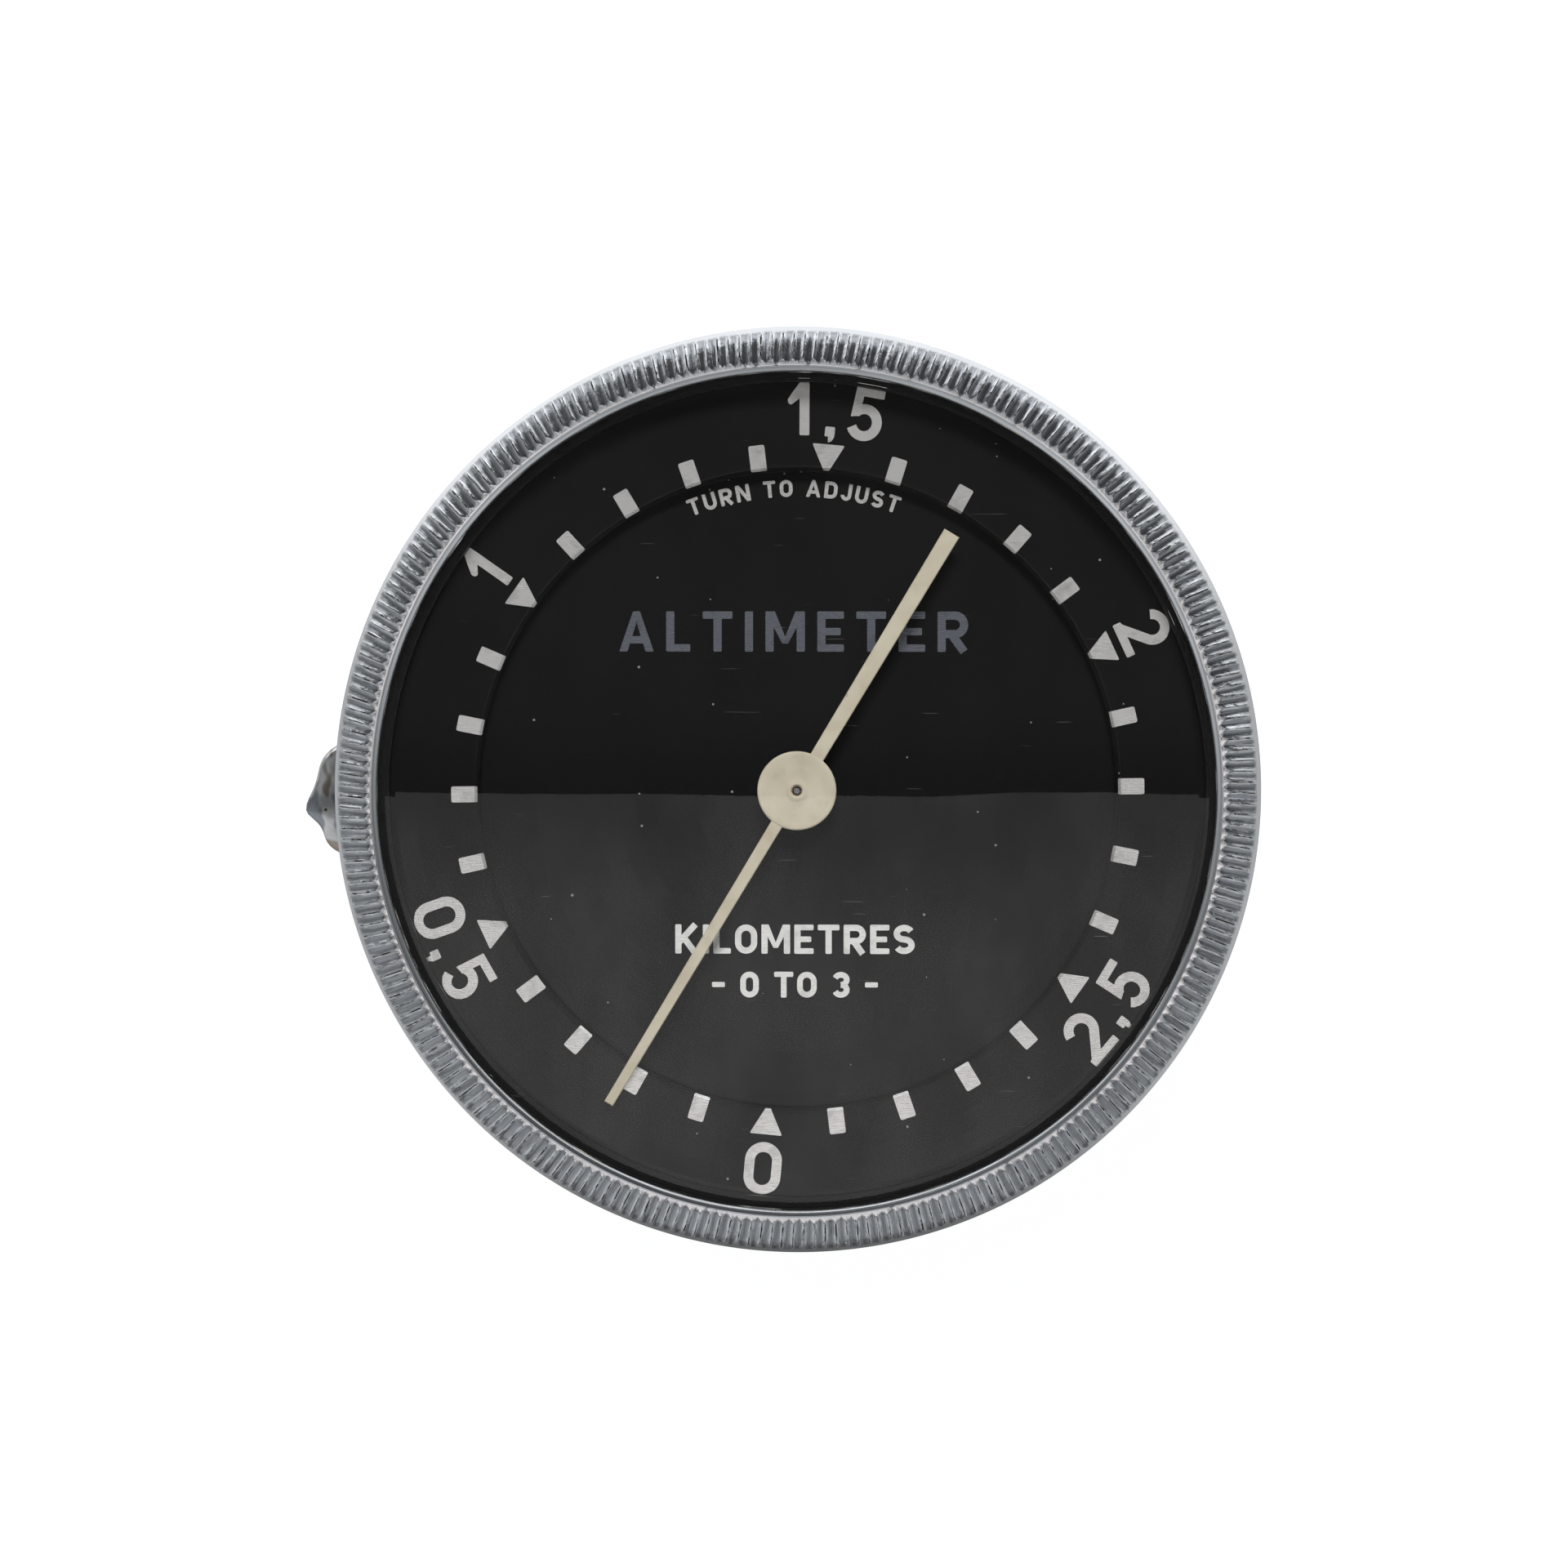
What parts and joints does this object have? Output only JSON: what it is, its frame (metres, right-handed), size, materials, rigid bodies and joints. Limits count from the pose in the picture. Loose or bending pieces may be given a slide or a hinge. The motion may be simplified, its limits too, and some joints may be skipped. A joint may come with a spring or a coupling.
{
  "type": "pocket aneroid altimeter",
  "caption": "Round pocket aneroid altimeter: metal case with a knurled turning bezel that carries the crystal and scale ring, a two-ended needle, an aneroid movement and a lanyard lug.",
  "frame": {"origin": "centre of the case back's outer face, on the axis that the bezel and the needle share", "axes": "+Z out of the dial towards the reader, +Y to twelve o'clock, +X to three o'clock; the lanyard lug stands out along -X"},
  "size_m": [0.0718, 0.068, 0.03],
  "materials": {
    "case_aluminium": "satin turned, lightly worn",
    "bezel_aluminium": "turned and knurled, with dirt in the grooves",
    "chrome": "polished plating",
    "screw_steel": "satin",
    "movement_steel": "fine ground",
    "movement_brass": "satin",
    "dial_lacquer": "gloss black lacquer with bare metal marks",
    "needle_paint": "aged cream paint",
    "crystal_glass": "clear",
    "gasket_rubber": "matt black"
  },
  "bodies": {
    "case": {"case_body": "case_aluminium", "case_back": "case_aluminium", "back_screw_1": "screw_steel", "back_screw_2": "screw_steel", "back_screw_3": "screw_steel", "lanyard_lug": "chrome", "bezel_spring_wire": "movement_steel", "movement_plate": "movement_brass", "plate_screw_1": "screw_steel", "plate_screw_2": "screw_steel", "plate_screw_3": "screw_steel", "bridge_pillar_1": "movement_brass", "bridge_pillar_2": "movement_brass", "bridge_pillar_3": "movement_brass", "bridge_plate": "movement_brass", "rocker_bracket_1": "movement_brass", "rocker_bracket_2": "movement_brass", "cock_pillar_1": "movement_brass", "cock_pillar_2": "movement_brass", "cock_bar": "movement_brass", "hairspring_stud": "movement_brass", "hairspring": "movement_steel", "calibration_bar": "movement_steel", "capsule_foot": "movement_brass", "capsule_lower": "movement_brass", "dial_plate": "dial_lacquer", "dial_post_1": "movement_brass", "dial_post_2": "movement_brass", "dial_post_3": "movement_brass"},
    "bezel": {"bezel": "bezel_aluminium", "crystal_gasket": "gasket_rubber", "crystal": "crystal_glass", "crystal_retainer": "dial_lacquer", "scale_ring": "dial_lacquer", "ring_retainer": "movement_steel"},
    "needle": {"needle": "needle_paint", "needle_bushing": "movement_brass", "handstaff": "movement_steel", "pinion": "movement_steel", "hairspring_collet": "movement_brass"},
    "sector": {"sector_gear": "movement_brass", "sector_arbor": "movement_steel", "sector_pin": "movement_steel"},
    "rocker": {"rocker_shaft": "movement_steel", "rocker_lower_arm": "movement_brass", "rocker_upper_arm": "movement_brass"},
    "capsule_top": {"capsule_upper": "movement_brass", "capsule_post": "movement_steel"},
    "calibration": {"calibration_screw": "screw_steel"}
  },
  "joints": [
    {"name": "bezel_turn", "type": "hinge", "parent": "case", "child": "bezel", "pos_m": [0, 0, 0.0255], "axis": [0, 0, 1], "continuous": true},
    {"name": "needle_turn", "type": "hinge", "parent": "case", "child": "needle", "pos_m": [0, 0, 0.0266], "axis": [0, 0, -1], "range_deg": [-31, 346], "deforming": ["hairspring"]},
    {"name": "sector_swing", "type": "hinge", "parent": "case", "child": "sector", "pos_m": [0.01743, 0.00451, 0.0188], "axis": [0, 0, 1], "range_deg": [-4, 43.5]},
    {"name": "rocker_turn", "type": "hinge", "parent": "case", "child": "rocker", "pos_m": [0, 0.00546, 0.0146], "axis": [-1, 0, 0], "range_deg": [-2, 21.2]},
    {"name": "capsule_rise", "type": "slide", "parent": "case", "child": "capsule_top", "axis": [0, 0, 1], "range_m": [-0.00009, 0.00108], "stiffness_N_per_m": 13000, "deforming": ["capsule_lower"]},
    {"name": "calibration_turn", "type": "hinge", "parent": "case", "child": "calibration", "pos_m": [-0.011, 0.0025, 0.003], "axis": [0, 0, 1], "range_deg": [-180, 180]}
  ],
  "couplings": [
    {"joint": "rocker_turn", "follows": "capsule_rise", "rad_per_m": 338.13},
    {"joint": "sector_swing", "follows": "capsule_rise", "rad_per_m": 697.39},
    {"joint": "needle_turn", "follows": "capsule_rise", "rad_per_m": 5579.1}
  ]
}
